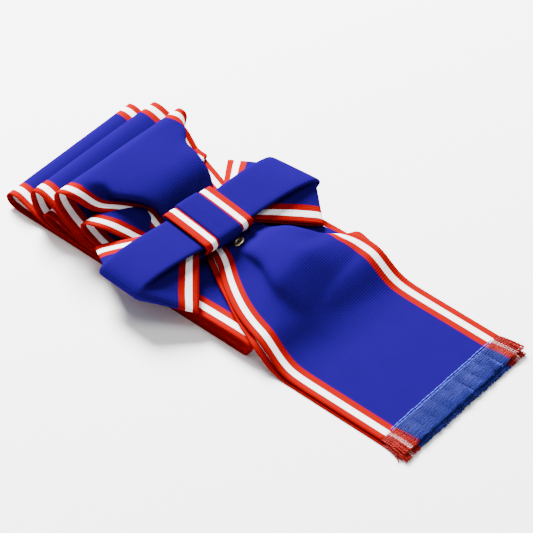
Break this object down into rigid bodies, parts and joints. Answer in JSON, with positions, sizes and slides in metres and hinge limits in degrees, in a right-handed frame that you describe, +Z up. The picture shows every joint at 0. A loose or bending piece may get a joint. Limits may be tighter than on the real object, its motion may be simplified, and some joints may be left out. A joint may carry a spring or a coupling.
{
  "type": "folded order sash with bow",
  "caption": "Broad striped grosgrain ribbon sash laid down folded in zigzag, with a bow and knot band, fringed tails and a small gilt eyelet",
  "frame": {"origin": "middle of the sash's footprint on the surface that it lies on", "axes": "+X along the tails, away from the folded loop; +Y to the back, along the bow; +Z up"},
  "size_m": [0.295, 0.1337, 0.0365],
  "materials": {
    "loop_ribbon": "ribbed grosgrain, royal blue with red, white and red borders",
    "tail_ribbon": "ribbed grosgrain, royal blue with red, white and red borders",
    "bow_cloth": "ribbed grosgrain, royal blue with red, white and red borders",
    "knot_cloth": "ribbed grosgrain, pleated so both striped borders show",
    "fringe_threads": "frayed crinkled threads, lighter blue, red and white at the corners",
    "gilt_metal": "polished gilt"
  },
  "bodies": {
    "root": {"sash_loop": "loop_ribbon", "tail_upper": "tail_ribbon", "tail_lower": "tail_ribbon", "bow_ribbon": "bow_cloth", "knot_band": "knot_cloth", "fringe_upper": "fringe_threads", "fringe_lower": "fringe_threads", "eyelet": "gilt_metal"}
  },
  "joints": []
}
